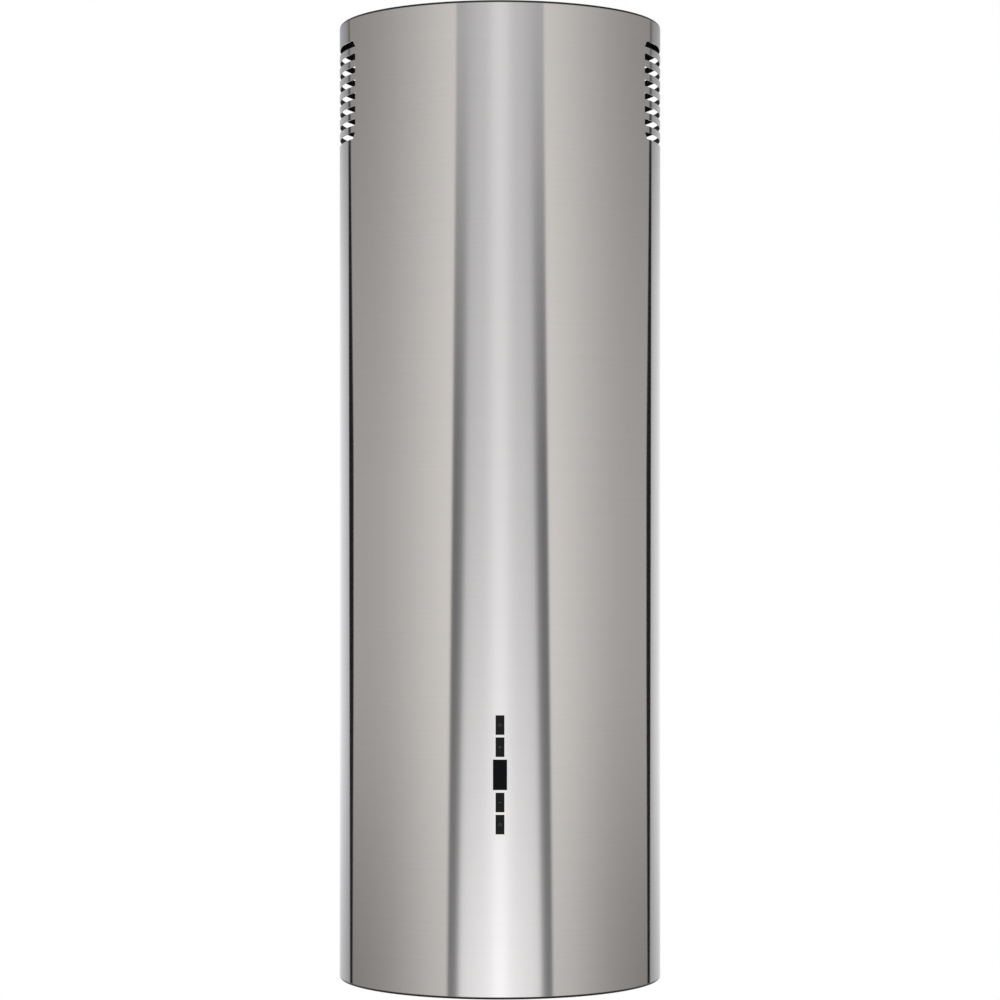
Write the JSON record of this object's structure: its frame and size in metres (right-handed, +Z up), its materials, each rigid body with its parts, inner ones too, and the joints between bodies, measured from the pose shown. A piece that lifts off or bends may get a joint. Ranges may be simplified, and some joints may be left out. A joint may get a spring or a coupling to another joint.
{
  "type": "island range hood",
  "caption": "Island range hood: tall brushed-steel cylinder for the ceiling, vent slots high on its sides, a vertical push-button strip, a blower, a hinged grease filter and lamps underneath",
  "frame": {"origin": "centre of the ceiling plane, on the axis of the cylindrical cover; the whole hood hangs below it", "axes": "+Z up along the cover, -Y the front with the push buttons, +X to the right of someone facing the buttons"},
  "size_m": [0.37, 0.3704, 1.095],
  "materials": {
    "brushed_steel": "stainless steel, horizontal brushed grain",
    "galvanised_steel": "galvanised sheet steel",
    "zinc_fasteners": "bright zinc plate",
    "chrome_trim": "polished chrome",
    "lamp_diffuser": "frosted, slightly warm white",
    "cast_aluminium": "cast, matt",
    "button_black": "satin black",
    "black_plastic": "satin black moulding",
    "circuit_board": "green solder mask",
    "display_glass": "glossy black",
    "grey_plastic": "moulded, matt",
    "white_plastic": "moulded, matt",
    "steel_shaft": "ground steel",
    "filter_aluminium": "mill finish, expanded mesh",
    "spring_steel": "drawn spring wire"
  },
  "bodies": {
    "hood_body": {"blower_deck": "galvanised_steel", "bottom_panel": "brushed_steel", "ceiling_plate": "galvanised_steel", "control_board": "circuit_board", "control_housing": "black_plastic", "damper_pin": "steel_shaft", "display_window": "display_glass", "electronics_box": "grey_plastic", "electronics_cover": "grey_plastic", "inlet_guard": "black_plastic", "lamp_bezel_front": "chrome_trim", "lamp_bezel_left": "chrome_trim", "lamp_bezel_rear": "chrome_trim", "lamp_bezel_right": "chrome_trim", "lamp_body_front": "cast_aluminium", "lamp_body_left": "cast_aluminium", "lamp_body_rear": "cast_aluminium", "lamp_body_right": "cast_aluminium", "lamp_lens_front": "lamp_diffuser", "lamp_lens_left": "lamp_diffuser", "lamp_lens_rear": "lamp_diffuser", "lamp_lens_right": "lamp_diffuser", "led_driver": "white_plastic", "lower_post_fl": "galvanised_steel", "lower_post_fr": "galvanised_steel", "lower_post_rl": "galvanised_steel", "lower_post_rr": "galvanised_steel", "mains_gland": "black_plastic", "motor_bracket": "black_plastic", "motor_capacitor": "white_plastic", "motor_casing": "cast_aluminium", "outer_tube": "brushed_steel", "outlet_collar": "black_plastic", "post_bolt_fl": "zinc_fasteners", "post_bolt_fr": "zinc_fasteners", "post_bolt_rl": "zinc_fasteners", "post_bolt_rr": "zinc_fasteners", "scroll_left": "grey_plastic", "scroll_right": "grey_plastic", "upper_post_fl": "galvanised_steel", "upper_post_fr": "galvanised_steel", "upper_post_rl": "galvanised_steel", "upper_post_rr": "galvanised_steel"},
    "impeller_wheel": {"impeller": "black_plastic", "motor_shaft": "steel_shaft"},
    "damper_front": {"damper_flap_front": "black_plastic"},
    "damper_rear": {"damper_flap_rear": "black_plastic"},
    "filter": {"filter_frame": "filter_aluminium", "filter_face_mesh": "filter_aluminium", "filter_core": "filter_aluminium", "filter_back_mesh": "filter_aluminium", "filter_pivot_pin_left": "steel_shaft", "filter_pivot_pin_right": "steel_shaft", "latch_spring": "spring_steel"},
    "latch": {"filter_latch": "chrome_trim"},
    "light_button": {"button_light": "button_black"},
    "plus_button": {"button_plus": "button_black"},
    "minus_button": {"button_minus": "button_black"},
    "timer_button": {"button_timer": "button_black"}
  },
  "joints": [
    {"name": "impeller_spin", "type": "hinge", "parent": "hood_body", "child": "impeller_wheel", "pos_m": [0, 0.05505, -0.891], "axis": [1, 0, 0], "continuous": true},
    {"name": "damper_front_hinge", "type": "hinge", "parent": "hood_body", "child": "damper_front", "pos_m": [0, 0, -0.7239], "axis": [-1, 0, 0], "range_deg": [0, 78]},
    {"name": "damper_rear_hinge", "type": "hinge", "parent": "hood_body", "child": "damper_rear", "pos_m": [0, 0, -0.7239], "axis": [1, 0, 0], "range_deg": [0, 78]},
    {"name": "filter_swing", "type": "hinge", "parent": "hood_body", "child": "filter", "pos_m": [0, 0.108, -1.0835], "axis": [1, 0, 0], "range_deg": [0, 80]},
    {"name": "latch_slide", "type": "slide", "parent": "filter", "child": "latch", "axis": [0, 1, 0], "range_m": [0, 0.0055], "stiffness_N_per_m": 600, "springref_m": -0.002, "deforming": ["latch_spring"]},
    {"name": "light_press", "type": "slide", "parent": "hood_body", "child": "light_button", "axis": [0, 1, 0], "range_m": [0, 0.0012], "stiffness_N_per_m": 800, "springref_m": -0.0004},
    {"name": "plus_press", "type": "slide", "parent": "hood_body", "child": "plus_button", "axis": [0, 1, 0], "range_m": [0, 0.0012], "stiffness_N_per_m": 800, "springref_m": -0.0004},
    {"name": "minus_press", "type": "slide", "parent": "hood_body", "child": "minus_button", "axis": [0, 1, 0], "range_m": [0, 0.0012], "stiffness_N_per_m": 800, "springref_m": -0.0004},
    {"name": "timer_press", "type": "slide", "parent": "hood_body", "child": "timer_button", "axis": [0, 1, 0], "range_m": [0, 0.0012], "stiffness_N_per_m": 800, "springref_m": -0.0004}
  ]
}
